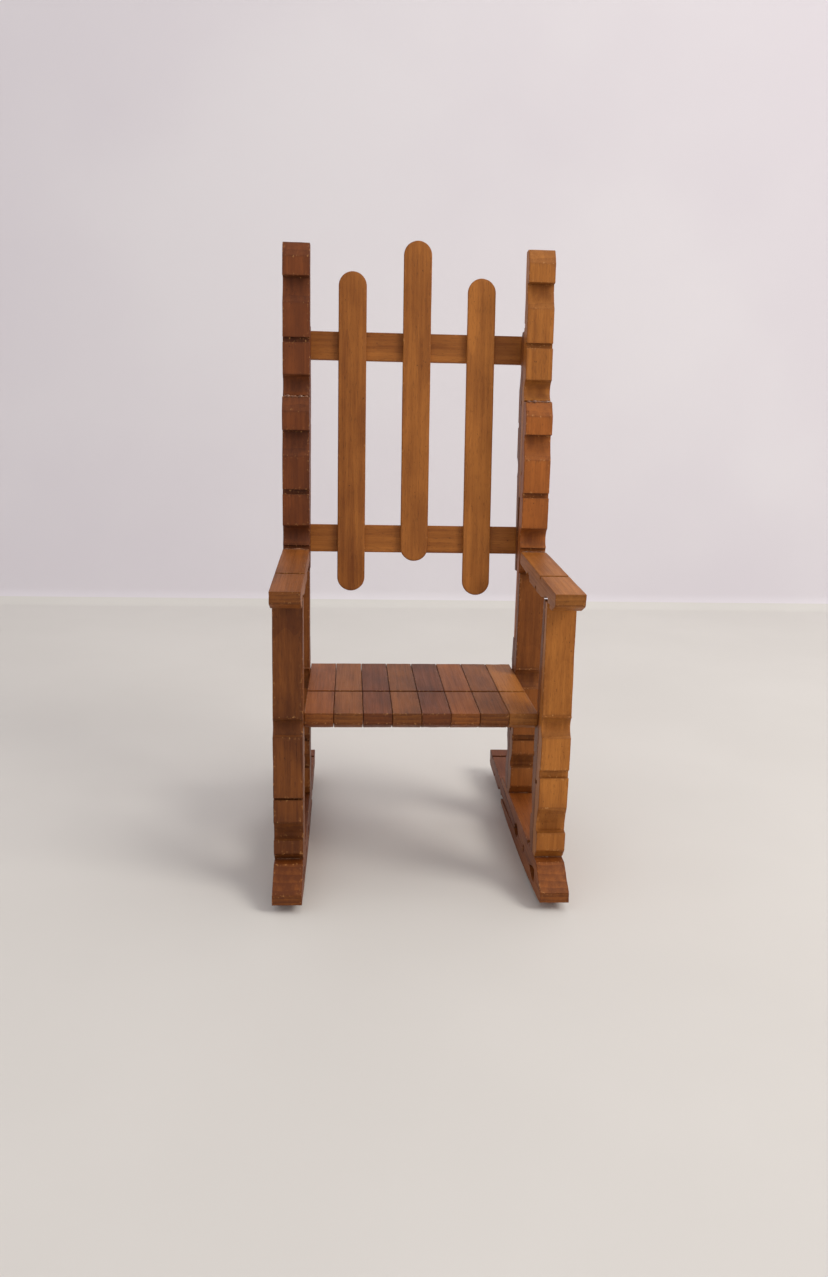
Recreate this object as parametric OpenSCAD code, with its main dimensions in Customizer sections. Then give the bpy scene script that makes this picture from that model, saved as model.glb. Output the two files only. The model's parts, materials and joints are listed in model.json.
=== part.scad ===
// Rocking chair for a small doll, glued up from the halves of wooden clothes-pegs
// and from craft sticks.
// Frame: millimetres, +Z up, +X to the right in a front view, +Y to the back.
// The origin is on the floor, in the middle between the two sides, halfway along the rockers.

/* [Peg half] */
// Length of a peg half
peg_len = 86; // [84:1:90]
// Width of a peg half
peg_w = 9.5; // [8:0.1:11]
// Thickness of a peg half at its jaw
peg_t = 6.4; // [5.8:0.1:7]
// Thickness left at the bevelled jaw tip
tip_t = 4.2; // [3.6:0.1:5]
// Thickness of the handle just past the spring notch
handle_t = 4.9; // [4.4:0.1:5.4]
// Thickness of the handle at its thin end
end_t = 3; // [2.4:0.1:3.6]
// Depth of the cord notch
notch_d = 2.2; // [1.5:0.1:2.6]
// Depth of the thin jaw groove
groove_d = 1.2; // [0.6:0.1:1.6]
// Depth of the spring notch
coil_d = 2.4; // [1.8:0.1:2.8]
// Distance of the wire slot from the jaw tip, on the flat face
slot_at = 24.6; // [22:0.1:28]

/* [Craft stick] */
// Width of a craft stick
stick_w = 10.1; // [8:0.1:11]
// Thickness of a craft stick
stick_t = 2; // [1.5:0.1:2.4]
// Length of a craft stick
stick_len = 114; // [108:1:118]

/* [Rockers] */
// Radius that the underside of the rockers is sanded to
rock_r = 440; // [400:5:600]
// Distance of the lowest point behind the front tip
low_y = 52; // [48:1:56]
// Whole length of a rocker
rocker_len = 120; // [110:1:130]
// Length of the slope cut on top of the front tip
nose_len = 9.5; // [7:0.5:11]

/* [Chair] */
// Pegs side by side in the seat
seat_pegs = 8; // [6:1:10]
// Height of the seat's top above the underside of the rockers
seat_z = 61; // [56:0.5:66]
// Distance of the seat's front edge behind the rocker tip
seat_front = 18; // [14:0.5:20]
// Depth that the seat pegs are cut to
seat_depth = 62; // [56:1:68]
// Distance of the front legs behind the rocker tip
leg_front = 10.3; // [10:0.1:13]
// Height of the arm's top at its front edge
arm_z = 103.8; // [103:0.1:104.6]
// Rise of the arms towards the back, in degrees
arm_rise = 2.5; // [1:0.5:4]
// Overhang of the arm in front of the front leg
arm_over = 8.6; // [7:0.1:10]
// Lean of the upper back posts, in degrees
post_lean = 4.2; // [3.5:0.1:5]
// Height of the back posts
post_z = 211; // [207:0.5:214]
// Distance of the back of the posts' tops behind the rocker tip
post_back = 83; // [81:0.1:85]

/* [Back rest] */
// Height of the top of the middle slat
slat_mid_z = 214.5; // [208:0.5:218]
// Height of the top of the left slat
slat_left_z = 203.4; // [196:0.2:208]
// Height of the top of the right slat
slat_right_z = 202.2; // [196:0.2:208]
// Distance between the middles of two slats
slat_pitch = 23.2; // [20:0.1:25]
// Height of the middle of the upper rail
rail_top_z = 177.6; // [172:0.1:180]
// Height of the middle of the lower rail
rail_low_z = 109; // [104:0.1:114]

/* [Hidden] */

$fn = 48;
arc_fn = 720;
LEFT = -1;
RIGHT = 1;
slack = 0.01;
slot_w = 1.3;
slot_d = 1;

// Cuts along a peg half, from its jaw tip: bevel end, cord notch from and to,
// groove from and to, spring notch from and to. Each batch of pegs differs a little.
POST_PEG = [5, 11.5, 20.3, 32, 33.6, 44.6, 52];
LEG_PEG_RIGHT = [3.6, 9.7, 18.6, 28.8, 31.4, 42.5, 49.6];
LEG_PEG_LEFT = [3, 7.6, 14, 21.6, 22.2, 42.7, 48.8];
REAR_PEG = [4, 11.6, 17.2, 22.6, 24.8, 43.4, 50.8];

// Angle between the handle's sloping face and its flat back
taper = atan((handle_t - end_t) / (peg_len - POST_PEG[6]));

half_seat = seat_pegs * peg_w / 2;
side_x = half_seat + peg_w / 2;
rocker_top = 2 * peg_t;
tip_y = -rocker_len / 2;
rail_len = 2 * side_x + peg_w;

// Down along a post that leans back by angle a, and square to it towards the front
function down(a) = [-sin(a), -cos(a)];
function ahead(a) = [-cos(a), sin(a)];

// Where each post peg's jaw tip meets its flat back, in side view [y, z]
upper_at = [post_back, post_z];
lower_at = upper_at + POST_PEG[6] * down(post_lean) + handle_t * ahead(post_lean);
lower_lean = post_lean - taper;
// The rear leg's flat back lies on the lower post peg's sloping handle
rear_lean = lower_lean - taper;
rear_meets = lower_at + POST_PEG[6] * down(lower_lean) + handle_t * ahead(lower_lean);
rear_drop = (rear_meets[1] - rocker_top) / cos(rear_lean);
rear_at = rear_meets + rear_drop * down(rear_lean);
// The rear leg's second half ends under the lower post peg
post_foot = lower_at + peg_len * down(lower_lean);
rear_back_len = (post_foot[1] - rocker_top) / cos(rear_lean) - 0.4;
// The splint behind the joint of the two post pegs
splint_drop = 27;
splint_at = upper_at + splint_drop * down(post_lean);

// Rails lie across the splints, at the height z
function splint_back(z, t) =
    splint_at[0] + (z - splint_at[1]) * tan(post_lean) + t / cos(post_lean);
rail_top_y = splint_back(rail_top_z, peg_t) + 0.2;
rail_low_s = (splint_at[1] - rail_low_z) / cos(post_lean);
rail_low_t = end_t + (handle_t - end_t) * (peg_len - rail_low_s) / (peg_len - POST_PEG[6]);
rail_low_y = splint_back(rail_low_z, rail_low_t) + 0.2;
slat_lean = atan((rail_top_y - rail_low_y) / (rail_top_z - rail_low_z));

// The arm's flat top at its front edge, and its length up to the lower post peg
arm_at = [leg_front - arm_over, arm_z];
post_face_y = lower_at[0] - (lower_at[1] - arm_z) * tan(lower_lean) - peg_t / cos(lower_lean);
arm_len = (post_face_y - arm_at[0]) / cos(arm_rise) - 0.4;

// Side view of a peg half: jaw tip at x = 0, flat back at y = 0, cuts in the face above
module peg_side(cuts, len = peg_len) {
    notch_r = 9;
    coil_r = (pow(cuts[6] - cuts[5], 2) / 4 + coil_d * coil_d) / (2 * coil_d);
    intersection() {
        difference() {
            polygon([
                [0, 0], [peg_len, 0], [peg_len, end_t], [cuts[6], handle_t],
                [cuts[6] - 0.6, peg_t], [cuts[0], peg_t], [0.6, tip_t], [0, tip_t - 0.6]
            ]);
            // cord notch: steep on the jaw side, running out towards the handle
            polygon([
                [cuts[1], peg_t + slack], [cuts[1] + 0.25, peg_t - notch_d],
                [cuts[1] + 0.3 * (cuts[2] - cuts[1]), peg_t - notch_d],
                [cuts[1] + 0.7 * (cuts[2] - cuts[1]), peg_t - 0.55 * notch_d],
                [cuts[2], peg_t + slack]
            ]);
            translate([cuts[3], peg_t - groove_d])
                square([cuts[4] - cuts[3], groove_d + slack]);
            translate([(cuts[5] + cuts[6]) / 2, peg_t - coil_d + coil_r])
                circle(coil_r, $fn = 96);
            // slot for the spring's wire, in the flat back
            translate([slot_at, -slack])
                square([slot_w, slot_d + slack]);
        }
        translate([0, -1])
            square([len, peg_t + 2]);
    }
}

// Stands a side view up in the YZ plane and gives it a width along X
module across(x, w = peg_w) {
    translate([x, tip_y, 0])
        rotate([90, 0, 90])
            translate([0, 0, -w / 2])
                linear_extrude(w)
                    children();
}

// Keeps what lies above the sanded underside of the rockers
module sanded() {
    intersection() {
        children();
        translate([low_y, rock_r])
            circle(rock_r, $fn = arc_fn);
    }
}

// Side view lying along Y with its flat back up
module face_down(at, tilt = 0) {
    translate(at) rotate(tilt) mirror([0, 1]) children();
}

// Side view standing on its jaw, flat back on the line through at
module jaw_down(at, lean, front) {
    translate(at) rotate(90 - lean) mirror([0, front ? 0 : 1]) children();
}

// Side view hanging from its jaw tip at the top
module jaw_up(at, lean, front) {
    translate(at) rotate(-90 - lean) mirror([0, front ? 1 : 0]) children();
}

// Side view of a rocker half: its jaw is square, so that the nose closes without a gap
module rocker_side() {
    peg_side(POST_PEG);
    square([POST_PEG[0] + slack, peg_t]);
}

module rocker_lower(side) {
    color("#9a5a2c") across(side * side_x) sanded() rocker_side();
}

module rocker_upper(side) {
    color("#a3612f") across(side * side_x)
        difference() {
            face_down([0, rocker_top]) rocker_side();
            // slope sawn on the nose, from the seam up to the top
            polygon([
                [-1, peg_t - 1], [0, peg_t], [nose_len, rocker_top], [nose_len, rocker_top + 1],
                [-1, rocker_top + 1]
            ]);
        }
}

// The tail's handle is glued into the V between the two front halves' handles
module rocker_tail(side) {
    joint = POST_PEG[6];
    color("#8f5226") across(side * side_x)
        sanded()
            intersection() {
                translate([joint, rocker_top - handle_t])
                    rotate(taper)
                        translate([peg_len, 0])
                            rotate(180)
                                peg_side(POST_PEG);
                square([rocker_len, 3 * peg_t]);
            }
}

module front_leg_face(side) {
    color("#b06a30") across(side * side_x)
        jaw_down([leg_front + peg_t, rocker_top], 0, true)
            peg_side(side == RIGHT ? LEG_PEG_RIGHT : LEG_PEG_LEFT);
}

module front_leg_back(side) {
    color("#8f5226") across(side * side_x)
        jaw_down([leg_front + peg_t, rocker_top], 0, false) peg_side(POST_PEG);
}

module rear_leg_face(side) {
    color("#8a4e26") across(side * side_x)
        jaw_down(rear_at, rear_lean, true) peg_side(REAR_PEG);
}

module rear_leg_back(side) {
    color("#7d4521") across(side * side_x)
        jaw_down(rear_at, rear_lean, false) peg_side(POST_PEG, rear_back_len);
}

module post_lower(side) {
    color("#93532a") across(side * side_x) jaw_up(lower_at, lower_lean, true) peg_side(POST_PEG);
}

module post_upper(side) {
    color("#a5622e") across(side * side_x) jaw_up(upper_at, post_lean, true) peg_side(POST_PEG);
}

module post_splint(side) {
    color("#8a4e26") across(side * side_x) jaw_up(splint_at, post_lean, false) peg_side(POST_PEG);
}

module arm(side) {
    color("#a8662f") across(side * side_x)
        difference() {
            face_down(arm_at, arm_rise) peg_side(POST_PEG, arm_len);
            // seats for the tops of the front leg and of the rear leg
            translate([leg_front, rocker_top])
                square([2 * peg_t, peg_len]);
            jaw_down(rear_at, rear_lean, true)
                square([peg_len, peg_t]);
        }
}

module seat_peg(i) {
    gap = 0.1;
    color("#7e4724") across((i - (seat_pegs + 1) / 2) * peg_w, peg_w - gap)
        face_down([seat_front, seat_z]) peg_side(POST_PEG, seat_depth);
}

module seat_batten_front() {
    flat_from = seat_front + POST_PEG[2] + 0.6;
    color("#8f5226")
        translate([-half_seat + 1, tip_y + flat_from, seat_z - peg_t - stick_t])
            cube([2 * half_seat - 2, stick_w, stick_t]);
}

module seat_batten_rear() {
    color("#8f5226") across(0, 2 * half_seat - 2)
        face_down([seat_front + peg_len, seat_z - end_t], taper)
            translate([-(peg_len - seat_depth) - stick_w - 0.4, 0])
                square([stick_w, stick_t]);
}

module back_rail(y, z) {
    color("#9d5c2c") across(0, rail_len)
        translate([y, z]) rotate(-slat_lean) translate([0, -stick_w / 2])
            square([stick_t, stick_w]);
}

module slat(x, top_z) {
    r = stick_w / 2;
    front_y = rail_top_y + (top_z - rail_top_z) * tan(slat_lean) - stick_t / cos(slat_lean);
    color("#a5622e")
        translate([x, tip_y + front_y, top_z])
            rotate([-slat_lean, 0, 0])
                translate([0, stick_t, 0])
                    rotate([90, 0, 0])
                        linear_extrude(stick_t) {
                            translate([0, -r]) circle(r, $fn = 96);
                            translate([0, r - stick_len]) circle(r, $fn = 96);
                            translate([-r, r - stick_len]) square([stick_w, stick_len - stick_w]);
                        }
}

rocker_lower(LEFT);  // rocker_lower_left
rocker_lower(RIGHT);  // rocker_lower_right
rocker_upper(LEFT);  // rocker_upper_left
rocker_upper(RIGHT);  // rocker_upper_right
rocker_tail(LEFT);  // rocker_tail_left
rocker_tail(RIGHT);  // rocker_tail_right
front_leg_face(LEFT);  // front_leg_face_left
front_leg_face(RIGHT);  // front_leg_face_right
front_leg_back(LEFT);  // front_leg_back_left
front_leg_back(RIGHT);  // front_leg_back_right
rear_leg_face(LEFT);  // rear_leg_face_left
rear_leg_face(RIGHT);  // rear_leg_face_right
rear_leg_back(LEFT);  // rear_leg_back_left
rear_leg_back(RIGHT);  // rear_leg_back_right
post_lower(LEFT);  // post_lower_left
post_lower(RIGHT);  // post_lower_right
post_upper(LEFT);  // post_upper_left
post_upper(RIGHT);  // post_upper_right
post_splint(LEFT);  // post_splint_left
post_splint(RIGHT);  // post_splint_right
arm(LEFT);  // arm_left
arm(RIGHT);  // arm_right
seat_peg(1);  // seat_peg_1
seat_peg(2);  // seat_peg_2
seat_peg(3);  // seat_peg_3
seat_peg(4);  // seat_peg_4
seat_peg(5);  // seat_peg_5
seat_peg(6);  // seat_peg_6
seat_peg(7);  // seat_peg_7
seat_peg(8);  // seat_peg_8
seat_batten_front();
seat_batten_rear();
back_rail(rail_top_y, rail_top_z);  // back_rail_upper
back_rail(rail_low_y, rail_low_z);  // back_rail_lower
slat(-slat_pitch, slat_left_z);  // slat_left
slat(0, slat_mid_z);  // slat_middle
slat(slat_pitch, slat_right_z);  // slat_right
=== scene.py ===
# Doll's rocking chair glued up from stained wooden clothes-peg halves and craft sticks.
# Metres, +Z up, +X to the right in a front view, +Y to the back of the chair.
import json
import math
import random

import bmesh
import bpy
import numpy as np
from mathutils import Matrix, Vector, noise
from mathutils.bvhtree import BVHTree


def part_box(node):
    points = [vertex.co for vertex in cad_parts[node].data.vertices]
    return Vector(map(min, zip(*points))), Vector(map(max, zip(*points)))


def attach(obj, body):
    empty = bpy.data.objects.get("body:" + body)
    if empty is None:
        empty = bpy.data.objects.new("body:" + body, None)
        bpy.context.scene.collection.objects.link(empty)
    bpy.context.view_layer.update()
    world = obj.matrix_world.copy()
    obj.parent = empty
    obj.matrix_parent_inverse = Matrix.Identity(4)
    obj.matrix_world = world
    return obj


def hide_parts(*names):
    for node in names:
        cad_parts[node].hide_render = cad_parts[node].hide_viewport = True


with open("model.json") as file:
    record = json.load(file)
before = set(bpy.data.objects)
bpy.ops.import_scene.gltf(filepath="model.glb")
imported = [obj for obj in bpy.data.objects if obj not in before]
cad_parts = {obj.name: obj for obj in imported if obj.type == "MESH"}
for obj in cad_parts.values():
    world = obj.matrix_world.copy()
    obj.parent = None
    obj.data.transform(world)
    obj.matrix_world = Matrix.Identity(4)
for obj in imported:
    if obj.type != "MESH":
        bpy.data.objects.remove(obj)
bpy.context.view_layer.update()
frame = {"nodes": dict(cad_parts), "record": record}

MM = 0.001
SEED = 7

# ---------------------------------------------------------------- camera

CAMERA_AT = Vector((-0.0237, -0.3493, 0.1606))
CAMERA_YAW = 0.0667
CAMERA_PITCH = 0.2378
CAMERA_ROLL = -0.0225
LENS = 28.2


def make_camera():
    """Stands in front of the chair and a little to its left, and looks down at it."""
    ahead = Vector((
        math.sin(CAMERA_YAW) * math.cos(CAMERA_PITCH),
        math.cos(CAMERA_YAW) * math.cos(CAMERA_PITCH),
        -math.sin(CAMERA_PITCH),
    ))
    level = Vector((math.cos(CAMERA_YAW), -math.sin(CAMERA_YAW), 0))
    below = ahead.cross(level)
    right = math.cos(CAMERA_ROLL) * level + math.sin(CAMERA_ROLL) * below
    down = math.cos(CAMERA_ROLL) * below - math.sin(CAMERA_ROLL) * level
    data = bpy.data.cameras.new("camera")
    data.lens = LENS
    data.clip_start = 0.01
    camera = bpy.data.objects.new("camera", data)
    turn = Matrix((right, -down, -ahead)).transposed()
    camera.matrix_world = Matrix.Translation(CAMERA_AT) @ turn.to_4x4()
    bpy.context.scene.collection.objects.link(camera)
    bpy.context.scene.camera = camera


make_camera()

# ---------------------------------------------------------------- materials


class Nodes:
    """Short ways to add shader nodes to one material."""

    def __init__(self, material):
        material.use_nodes = True
        self.tree = material.node_tree
        self.tree.nodes.clear()

    def add(self, kind, **settings):
        node = self.tree.nodes.new(kind)
        for name, value in settings.items():
            setattr(node, name, value)
        return node

    def link(self, out, into):
        self.tree.links.new(out, into)

    def feed(self, value, into):
        """A socket is linked and anything else is set as the socket's value."""
        if isinstance(value, bpy.types.NodeSocket):
            self.link(value, into)
        else:
            into.default_value = value

    def attribute(self, name):
        return self.add("ShaderNodeAttribute", attribute_name=name)

    def math(self, operation, a, b=0.0, c=0.0, clamp=False):
        node = self.add("ShaderNodeMath", operation=operation, use_clamp=clamp)
        self.feed(a, node.inputs[0])
        self.feed(b, node.inputs[1])
        self.feed(c, node.inputs[2])
        return node.outputs[0]

    def stretch(self, vector, scale):
        node = self.add("ShaderNodeVectorMath", operation="MULTIPLY")
        self.link(vector, node.inputs[0])
        node.inputs[1].default_value = scale
        return node.outputs[0]

    def noise(self, vector, scale, detail=2.0, roughness=0.5):
        """Noise of the vector stretched by scale, from 0 to 1."""
        node = self.add("ShaderNodeTexNoise")
        self.link(self.stretch(vector, scale), node.inputs["Vector"])
        node.inputs["Scale"].default_value = 1
        node.inputs["Detail"].default_value = detail
        node.inputs["Roughness"].default_value = roughness
        return node.outputs["Fac"]

    def remap(self, value, low, high, to_low=0.0, to_high=1.0):
        node = self.add("ShaderNodeMapRange", interpolation_type="SMOOTHSTEP")
        self.link(value, node.inputs["Value"])
        for name, number in (
            ("From Min", low), ("From Max", high), ("To Min", to_low), ("To Max", to_high)
        ):
            node.inputs[name].default_value = number
        return node.outputs["Result"]

    def mix(self, factor, a, b):
        """Two colours mixed. Inputs 6 and 7 and output 2 are the node's colour sockets."""
        node = self.add("ShaderNodeMix", data_type="RGBA")
        self.feed(factor, node.inputs["Factor"])
        for value, into in ((a, node.inputs[6]), (b, node.inputs[7])):
            self.feed(value if isinstance(value, bpy.types.NodeSocket) else (*value, 1), into)
        return node.outputs[2]


# Stain on each batch of wood: the early wood takes most of it, the late wood least
STAINS = {
    "wood_golden": ((0.215, 0.062, 0.0080), (0.530, 0.195, 0.034)),
    "wood_red": ((0.140, 0.034, 0.0055), (0.400, 0.120, 0.020)),
    "wood_brown": ((0.100, 0.026, 0.0045), (0.320, 0.100, 0.017)),
    "wood_dark": ((0.075, 0.017, 0.0040), (0.235, 0.062, 0.013)),
    "wood_stick": ((0.180, 0.050, 0.0075), (0.470, 0.168, 0.030)),
}
# Of the rings, in mm
RING_PITCH = 1.5
# The wave texture repeats after this length
WAVE_PERIOD = 0.314
# How fast the rings change along the grain, across it and into the piece
RING_DRIFT = (0.035, 0.3, 1)
# Ranges that hold most of a noise's values
MIDDLE = (0.3, 0.7)
MOST = (0.25, 0.75)
# How bright the painted shade and pooled stain in a notch, and the stain pooled at an edge, are
# against the darkest stain
SHADE_AND_POOLED_STAIN = 0.8
DIRT = (0.020, 0.0065, 0.0025)
BARE = (0.62, 0.30, 0.10)


def stained_wood(name, dark, light):
    """Satin varnish over stained wood. The grain attribute is in mm: along, across, depth."""
    material = bpy.data.materials.new(name)
    n = Nodes(material)
    grain = n.attribute("grain").outputs["Vector"]
    tone = n.attribute("tone").outputs["Fac"]
    edge = n.attribute("edge").outputs["Fac"]
    shaded_cavity = n.attribute("shaded_cavity").outputs["Fac"]
    end = n.attribute("end_grain").outputs["Fac"]

    rings = n.add("ShaderNodeTexWave", wave_type="BANDS", bands_direction="Z", wave_profile="SAW")
    turn = WAVE_PERIOD / RING_PITCH
    n.link(n.stretch(grain, [turn * drift for drift in RING_DRIFT]), rings.inputs["Vector"])
    for socket, value in (("Scale", 1), ("Distortion", 5), ("Detail", 2), ("Detail Scale", 0.9)):
        rings.inputs[socket].default_value = value
    ring = rings.outputs["Fac"]

    streak = n.noise(grain, (0.022, 0.75, 0.75), 3, 0.55)
    fibre = n.noise(grain, (0.09, 5.0, 5.0), 4, 0.6)
    fleck = n.noise(grain, (0.42, 5.5, 5.5), 1, 0.4)
    blotch = n.noise(grain, (0.05, 0.10, 0.10), 2)
    speck = n.noise(grain, (0.9, 1.4, 1.4), 2)

    figure = n.math("MULTIPLY", ring, n.math("MULTIPLY_ADD", end, 0.5, 0.14))
    figure = n.math("ADD", figure, n.remap(streak, *MOST, 0.02, 0.36))
    figure = n.math("ADD", figure, n.remap(fibre, *MOST, 0, 0.24))
    figure = n.math("ADD", figure, n.remap(blotch, *MIDDLE, -0.05, 0.27))
    figure = n.math("ADD", figure, n.math("MULTIPLY", tone, 0.5), clamp=True)
    colour = n.mix(figure, dark, light)

    pores = n.remap(fleck, 0.28, 0.39, 0.5, 0)
    colour = n.mix(pores, colour, n.mix(0.72, colour, DIRT))
    specks = n.remap(speck, 0.24, 0.29, 0.7, 0)
    colour = n.mix(specks, colour, DIRT)
    colour = n.mix(n.math("MULTIPLY", end, 0.45), colour, DIRT)
    # Painted shade: the hollows below the hull darken towards the deeper stain, together with the
    # stain pooled there; the edges darken with pooled stain only
    deep = [SHADE_AND_POOLED_STAIN * part for part in dark]
    hollow_shade_and_stain = n.math("MULTIPLY", shaded_cavity, n.remap(streak, 0.2, 0.8, 0.75, 0.45))
    colour = n.mix(hollow_shade_and_stain, colour, deep)
    colour = n.mix(n.math("MULTIPLY", n.math("POWER", edge, 3), 0.55), colour, deep)
    nicks = n.math("MULTIPLY", n.math("POWER", edge, 2), n.remap(speck, 0.60, 0.68, 0, 0.7))
    colour = n.mix(nicks, colour, BARE)

    shader = n.add("ShaderNodeBsdfPrincipled")
    n.link(colour, shader.inputs["Base Color"])
    rough = n.remap(fibre, *MIDDLE, 0.58, 0.46)
    rough = n.math("ADD", rough, n.math("MULTIPLY", shaded_cavity, 0.22))
    n.link(rough, shader.inputs["Roughness"])
    shader.inputs["Coat Weight"].default_value = 0.05
    shader.inputs["Coat Roughness"].default_value = 0.3
    shader.inputs["Specular IOR Level"].default_value = 0.2

    height = n.math("ADD", n.math("MULTIPLY", fibre, 0.55), n.math("MULTIPLY", ring, 0.12))
    height = n.math("SUBTRACT", height, n.math("MULTIPLY", pores, 0.9))
    height = n.math("SUBTRACT", height, n.math("MULTIPLY", specks, 0.9))
    bump = n.add("ShaderNodeBump")
    bump.inputs["Strength"].default_value = 0.6
    bump.inputs["Distance"].default_value = 0.07 * MM
    n.link(height, bump.inputs["Height"])
    n.link(bump.outputs[0], shader.inputs["Normal"])
    n.link(shader.outputs[0], n.add("ShaderNodeOutputMaterial").inputs["Surface"])
    return material


def painted(name, low, high, size, roughness):
    """A plain matt surface whose tone drifts softly over that size in metres."""
    material = bpy.data.materials.new(name)
    n = Nodes(material)
    place = n.add("ShaderNodeTexCoord").outputs["Object"]
    drift = n.noise(place, (1 / size,) * 3, 3)
    shader = n.add("ShaderNodeBsdfPrincipled")
    n.link(n.mix(n.remap(drift, *MIDDLE), low, high), shader.inputs["Base Color"])
    shader.inputs["Roughness"].default_value = roughness
    shader.inputs["Specular IOR Level"].default_value = 0.2
    n.link(shader.outputs[0], n.add("ShaderNodeOutputMaterial").inputs["Surface"])
    return material


WOOD = {slot: stained_wood(slot, *stain) for slot, stain in STAINS.items()}

# ---------------------------------------------------------------- wooden pieces

WELD = 0.001 * MM
# Angles between faces: a flat face stays below FLAT, an edge to round is above SHARP and a
# crease in the shading is above CREASE
FLAT = math.radians(0.2)
SHARP = math.radians(24)
CREASE = math.radians(40)
EDGE_SEGMENTS = 3
STEP_ALONG = 1.6 * MM
SLICES_ACROSS = 6
SLICES_DEEP = 5
# How deep the surface is uneven and how deep its edges are worn, over WEAR_REACH from the edge
UNEVEN = 0.03 * MM
WORN = 0.18 * MM
WEAR_REACH = 0.9 * MM
# How fast the unevenness and the wear change per mm
UNEVEN_RATE = 0.35
WORN_RATE = 0.55
# An edge is worn where its noise is above this level, and the shift keeps that noise from
# following the unevenness
WORN_LEVEL = 0.05
WORN_SHIFT = Vector((9, 3, 5))
# The share of the change along the grain that both leave out
LENGTHWISE = 0.8
# The depth below the piece's hull at which a notch has its full painted shade and pooled stain
HOLLOW = 2.0 * MM
# A face that is turned this little to the grain shows no end grain
SIDE_GRAIN = 0.15
# Pieces are cut from places up to this many mm apart in the wood
WOOD_SIZE = 400


def cad_shell(node):
    """The CAD node's closed surface with its flat faces whole."""
    shell = bmesh.new()
    shell.from_mesh(frame["nodes"][node].data)
    bmesh.ops.remove_doubles(shell, verts=shell.verts, dist=WELD)
    bmesh.ops.dissolve_limit(
        shell, angle_limit=FLAT, verts=shell.verts, edges=shell.edges
    )
    bmesh.ops.recalc_face_normals(shell, faces=shell.faces)
    return shell


def grain_frame(shell):
    """Unit vectors along the grain, which the longest edge has, across it and into the piece."""
    longest = max(shell.edges, key=lambda e: e.calc_length())
    along = (longest.verts[1].co - longest.verts[0].co).normalized()
    side = Vector((0, 0, 1)) if abs(along.x) > 0.7 else Vector((1, 0, 0))
    depth = along.cross(side).normalized()
    return along, depth.cross(along), depth


def sharp_edges(shell):
    return [e for e in shell.edges if e.calc_face_angle(0) > SHARP]


def distance_to(points, edges):
    """Distance of each point to the nearest of the edges."""
    best = np.full(len(points), 1.0)
    for start, end in edges:
        span = end - start
        t = np.clip(((points - start) @ span) / (span @ span), 0, 1)
        best = np.minimum(best, np.linalg.norm(points - start - t[:, None] * span, axis=1))
    return best


def hull_of(shell):
    hull = bmesh.new()
    for v in shell.verts:
        hull.verts.new(v.co)
    bmesh.ops.convex_hull(hull, input=hull.verts)
    tree = BVHTree.FromBMesh(hull)
    hull.free()
    return tree


def slice_up(shell, direction, count):
    """Cuts the surface by equally spaced planes, so that it can be worn and made uneven."""
    reach = [v.co.dot(direction) for v in shell.verts]
    low, high = min(reach), max(reach)
    for i in range(1, count):
        place = direction * (low + (high - low) * i / count)
        geometry = shell.verts[:] + shell.edges[:] + shell.faces[:]
        bmesh.ops.bisect_plane(
            shell, geom=geometry, dist=WELD, plane_co=place, plane_no=direction
        )


def roughen(shell, near, along, seed):
    """Moves the surface inwards: a little everywhere, more in patches along the edges."""
    shell.normal_update()
    moves = []
    for v, distance in zip(shell.verts, near):
        place = v.co / MM + Vector((seed, seed * 0.7, -seed))
        lengthwise = along * place.dot(along)
        stretched = place - lengthwise * LENGTHWISE
        uneven = 0.5 + 0.5 * noise.noise(stretched * UNEVEN_RATE)
        patch = max(0.0, noise.noise(stretched * WORN_RATE + WORN_SHIFT) - WORN_LEVEL)
        on_edge = max(0.0, 1 - distance / WEAR_REACH)
        moves.append(v.normal * -(UNEVEN * uneven + WORN * patch * on_edge))
    for v, move in zip(shell.verts, moves):
        v.co += move


def write_attributes(mesh, values):
    for name, kind, domain, field, data in values:
        attribute = mesh.attributes.new(name, kind, domain)
        attribute.data.foreach_set(field, np.asarray(data, np.float32).ravel())


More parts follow.
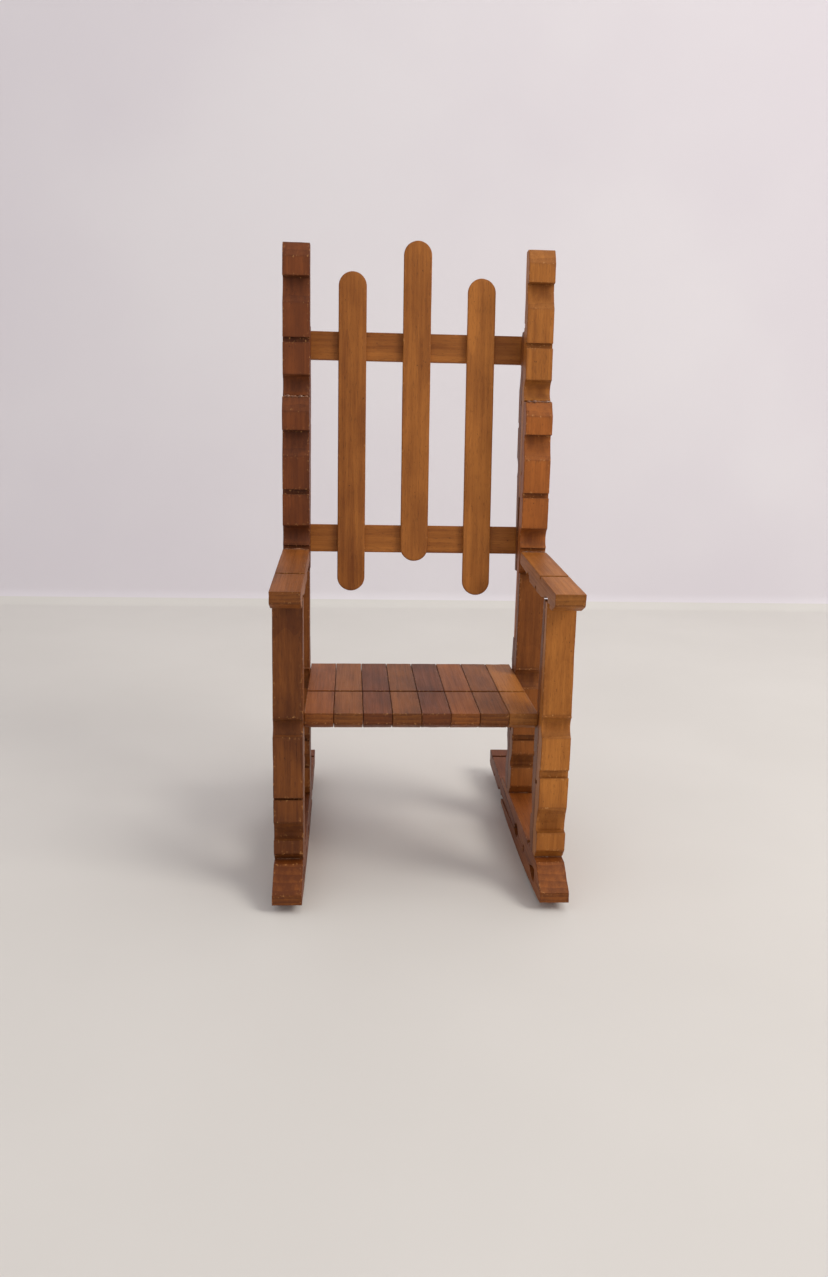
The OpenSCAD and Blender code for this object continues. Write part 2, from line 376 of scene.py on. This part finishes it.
def wooden_piece(node, slot, round_edge, tone, seed):
    """A detailed piece in the place of a CAD node: rounded and worn edges, uneven faces."""
    chance = random.Random(seed)
    shell = cad_shell(node)
    along, across, depth = grain_frame(shell)
    corners = [(np.array(e.verts[0].co), np.array(e.verts[1].co)) for e in sharp_edges(shell)]
    hull = hull_of(shell)
    bmesh.ops.bevel(
        shell, geom=[e for e in sharp_edges(shell) if e.is_convex], offset=round_edge,
        offset_type="OFFSET", segments=EDGE_SEGMENTS, profile=0.5, affect="EDGES",
        clamp_overlap=True,
    )
    reach = [v.co.dot(along) for v in shell.verts]
    slice_up(shell, along, round((max(reach) - min(reach)) / STEP_ALONG))
    slice_up(shell, across, SLICES_ACROSS)
    slice_up(shell, depth, SLICES_DEEP)
    bmesh.ops.triangulate(shell, faces=[f for f in shell.faces if len(f.verts) > 4])
    points = np.array([v.co for v in shell.verts])
    near = distance_to(points, corners)
    # How far each point lies below the hull, which sets the painted shade and pooled stain in the
    # notches
    hollow = [max(0.0, hull.find_nearest(v.co)[3]) / HOLLOW for v in shell.verts]
    roughen(shell, near, along, seed)

    mesh = bpy.data.meshes.new("made_" + node)
    shell.to_mesh(mesh)
    shell.free()
    shift = Vector([chance.uniform(0, WOOD_SIZE) for _ in range(3)])
    axes = [np.array(axis) for axis in (along, across, depth)]
    grain = [[p @ axis for axis in axes] for p in points / MM]
    ends = [max(0.0, abs(p.normal.dot(along)) - SIDE_GRAIN) for p in mesh.polygons]
    write_attributes(mesh, (
        ("grain", "FLOAT_VECTOR", "POINT", "vector", np.array(grain) + np.array(shift)),
        ("edge", "FLOAT", "POINT", "value", np.clip(1 - near / WEAR_REACH, 0, 1)),
        ("shaded_cavity", "FLOAT", "POINT", "value", np.clip(hollow, 0, 1)),
        ("tone", "FLOAT", "POINT", "value", np.full(len(points), tone)),
        ("end_grain", "FLOAT", "FACE", "value", ends),
    ))
    mesh.shade_smooth()
    mesh.set_sharp_from_angle(angle=CREASE)
    mesh.materials.append(WOOD[slot])
    piece = bpy.data.objects.new("made_" + node, mesh)
    bpy.context.scene.collection.objects.link(piece)
    normals = piece.modifiers.new("normals", "WEIGHTED_NORMAL")
    normals.keep_sharp = True
    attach(piece, "root")
    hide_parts(node)


SLOTS = {part["node"]: part["material_slot"] for part in frame["record"]["subparts"]}
PEG_EDGE = 0.24 * MM
STICK_EDGE = 0.4 * MM


# ---------------------------------------------------------------- glue at the joints

GLUE_SIDES = 10
GLUE_RINGS = 22
# Between the end of a bead and the side of the piece
GLUE_INSET = 0.35 * MM
# A bead's mean radius and its swing as shares of its thickness, and how fast it changes
LUMP_MEAN = 0.6
LUMP_SWING = 0.85
LUMPS = 8.0
THINNEST = 0.05


def dried_glue():
    """Clear amber glue that was squeezed out of a joint and has dried to a gloss."""
    material = bpy.data.materials.new("dried_glue")
    n = Nodes(material)
    place = n.add("ShaderNodeTexCoord").outputs["Object"]
    cloud = n.noise(place, (900, 900, 900), 3)
    shader = n.add("ShaderNodeBsdfPrincipled")
    tint = n.mix(n.remap(cloud, *MIDDLE), (0.115, 0.034, 0.009), (0.25, 0.090, 0.026))
    n.link(tint, shader.inputs["Base Color"])
    n.link(n.remap(cloud, *MIDDLE, 0.16, 0.34), shader.inputs["Roughness"])
    shader.inputs["Coat Weight"].default_value = 0.5
    shader.inputs["Coat Roughness"].default_value = 0.1
    n.link(shader.outputs[0], n.add("ShaderNodeOutputMaterial").inputs["Surface"])
    return material


GLUE = dried_glue()


def glue_bead(name, start, end, thick, seed):
    """A lumpy bead of dried glue along an inside corner, thin where little was squeezed out."""
    start, end = Vector(start), Vector(end)
    line = (end - start).normalized()
    side = line.orthogonal().normalized()
    other = line.cross(side)
    bead = bmesh.new()
    rings = []
    for i in range(GLUE_RINGS + 1):
        t = i / GLUE_RINGS
        lump = LUMP_MEAN + LUMP_SWING * noise.noise(Vector((seed, t * LUMPS, 0)))
        taper = math.sqrt(max(0.0, 1 - (2 * t - 1) ** 6))
        radius = thick * max(THINNEST, lump * taper)
        centre = start.lerp(end, t)
        rings.append([
            bead.verts.new(centre + radius * (math.cos(a) * side + math.sin(a) * other))
            for a in (2 * math.pi * k / GLUE_SIDES for k in range(GLUE_SIDES))
        ])
    for low, high in zip(rings, rings[1:]):
        for k in range(GLUE_SIDES):
            j = (k + 1) % GLUE_SIDES
            bead.faces.new((low[k], low[j], high[j], high[k]))
    bead.faces.new(rings[0][::-1])
    bead.faces.new(rings[-1])
    bmesh.ops.recalc_face_normals(bead, faces=bead.faces)
    mesh = bpy.data.meshes.new(name)
    bead.to_mesh(mesh)
    bead.free()
    mesh.shade_smooth()
    mesh.materials.append(GLUE)
    piece = bpy.data.objects.new(name, mesh)
    bpy.context.scene.collection.objects.link(piece)
    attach(piece, "root")


def corner(node, *order):
    """The vertex of a CAD node that comes last in that order, such as z, then -y."""
    def rank(v):
        return [round(sign * v.co[axis], 5) for axis, sign in order]
    return max(frame["nodes"][node].data.vertices, key=rank).co.copy()


Y_UP, Z_UP = (1, 1), (2, 1)
Y_DOWN, Z_DOWN = (1, -1), (2, -1)
# From the front leg's top to the middle of the gap that the arm's notch leaves above it
ARM_GAP = Vector((0, 0.4, 0.35)) * MM


def make_glue():
    """Beads in the posts' joints, at the legs' feet, under the arms and at the arms' rear ends."""
    for number, side in enumerate(("left", "right")):
        low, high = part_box(f"post_lower_{side}")
        reach = (low.x + GLUE_INSET, high.x - GLUE_INSET)
        places = {
            "post_joint": (corner(f"post_lower_{side}", Z_UP, Y_DOWN), 0.7 * MM),
            "leg_foot": (corner(f"front_leg_face_{side}", Z_DOWN, Y_DOWN), 0.42 * MM),
            "leg_foot_rear": (corner(f"rear_leg_face_{side}", Z_DOWN, Y_DOWN), 0.45 * MM),
            "splint_top": (corner(f"post_splint_{side}", Z_UP, Y_DOWN), 0.5 * MM),
            "arm_seat": (
                corner(f"front_leg_face_{side}", Z_UP, Y_DOWN) + ARM_GAP, 0.75 * MM
            ),
            "arm_end": (corner(f"arm_{side}", Z_UP, Y_UP), 0.4 * MM),
        }
        for index, (joint, (at, thick)) in enumerate(places.items()):
            glue_bead(
                f"glue_{joint}_{side}", (reach[0], at.y, at.z), (reach[1], at.y, at.z),
                thick, 3.7 * index + 11 * number,
            )


# How much paler or darker than its slot a piece is; the others differ by chance
TONES = {
    "slat_left": -0.3, "slat_middle": 0.05, "slat_right": 0.4,
    "post_upper_left": 0.1, "post_lower_left": -0.15,
    "post_upper_right": 0.1, "post_lower_right": 0.6,
    "front_leg_face_left": -0.55, "front_leg_face_right": 0.0,
    "arm_left": 0.3, "arm_right": -0.25,
    "rocker_upper_left": -0.85, "rocker_lower_left": -0.8,
    "rocker_upper_right": -0.35, "rocker_lower_right": -0.35,
}


def make_wood():
    chance = random.Random(SEED)
    for index, (node, slot) in enumerate(sorted(SLOTS.items())):
        stick = slot == "wood_stick"
        tone = TONES.get(node, chance.uniform(-0.25, 0.25))
        wooden_piece(node, slot, STICK_EDGE if stick else PEG_EDGE, tone, SEED + index)


make_wood()
make_glue()

# ---------------------------------------------------------------- floor, wall and light

ROOM_HALF = 3.0
WALL_Y = 0.42
WALL_TOP = 3.0
COVE = 0.012
COVE_STEPS = 8


def make_room():
    """A pale table top that meets a pale wall in a small curve."""
    turns = [math.pi / 2 * i / COVE_STEPS for i in range(COVE_STEPS + 1)]
    profile = [(-ROOM_HALF, 0.0)]
    profile += [(WALL_Y - COVE + COVE * math.sin(a), COVE - COVE * math.cos(a)) for a in turns]
    profile += [(WALL_Y, WALL_TOP)]
    room = bmesh.new()
    rows = [[room.verts.new((x, y, z)) for x in (-ROOM_HALF, ROOM_HALF)] for y, z in profile]
    for (a, b), (c, d) in zip(rows, rows[1:]):
        room.faces.new((a, b, d, c)).smooth = True
    mesh = bpy.data.meshes.new("room")
    room.to_mesh(mesh)
    room.free()
    cloth = painted("pale_cloth", (0.685, 0.665, 0.63), (0.71, 0.69, 0.655), 0.12, 0.8)
    wall = painted("pale_wall", (0.74, 0.70, 0.745), (0.79, 0.76, 0.79), 0.25, 0.9)
    mesh.materials.append(cloth)
    mesh.materials.append(wall)
    for face in mesh.polygons:
        face.material_index = 1 if face.center.z > COVE * 0.5 else 0
    floor = bpy.data.objects.new("room", mesh)
    bpy.context.scene.collection.objects.link(floor)


def softbox(name, at, aim, size, watts, colour):
    data = bpy.data.lights.new(name, "AREA")
    data.shape = "DISK"
    data.size = size
    data.energy = watts
    data.color = colour
    lamp = bpy.data.objects.new(name, data)
    lamp.location = at
    lamp.rotation_euler = (Vector(aim) - Vector(at)).to_track_quat("-Z", "Y").to_euler()
    bpy.context.scene.collection.objects.link(lamp)


def make_light():
    bpy.context.scene.view_settings.view_transform = "Standard"
    world = bpy.data.worlds.new("world")
    world.use_nodes = True
    back = world.node_tree.nodes["Background"]
    back.inputs["Color"].default_value = (0.93, 0.91, 0.92, 1)
    back.inputs["Strength"].default_value = 0.72
    bpy.context.scene.world = world
    middle = (0, 0, 0.1)
    softbox("key", (0.75, -0.5, 0.8), middle, 0.5, 5.6, (1.0, 0.96, 0.90))
    softbox("top", (0.35, 0.05, 1.1), middle, 0.7, 1.6, (1.0, 0.98, 0.94))


make_room()
make_light()

bpy.context.view_layer.update()
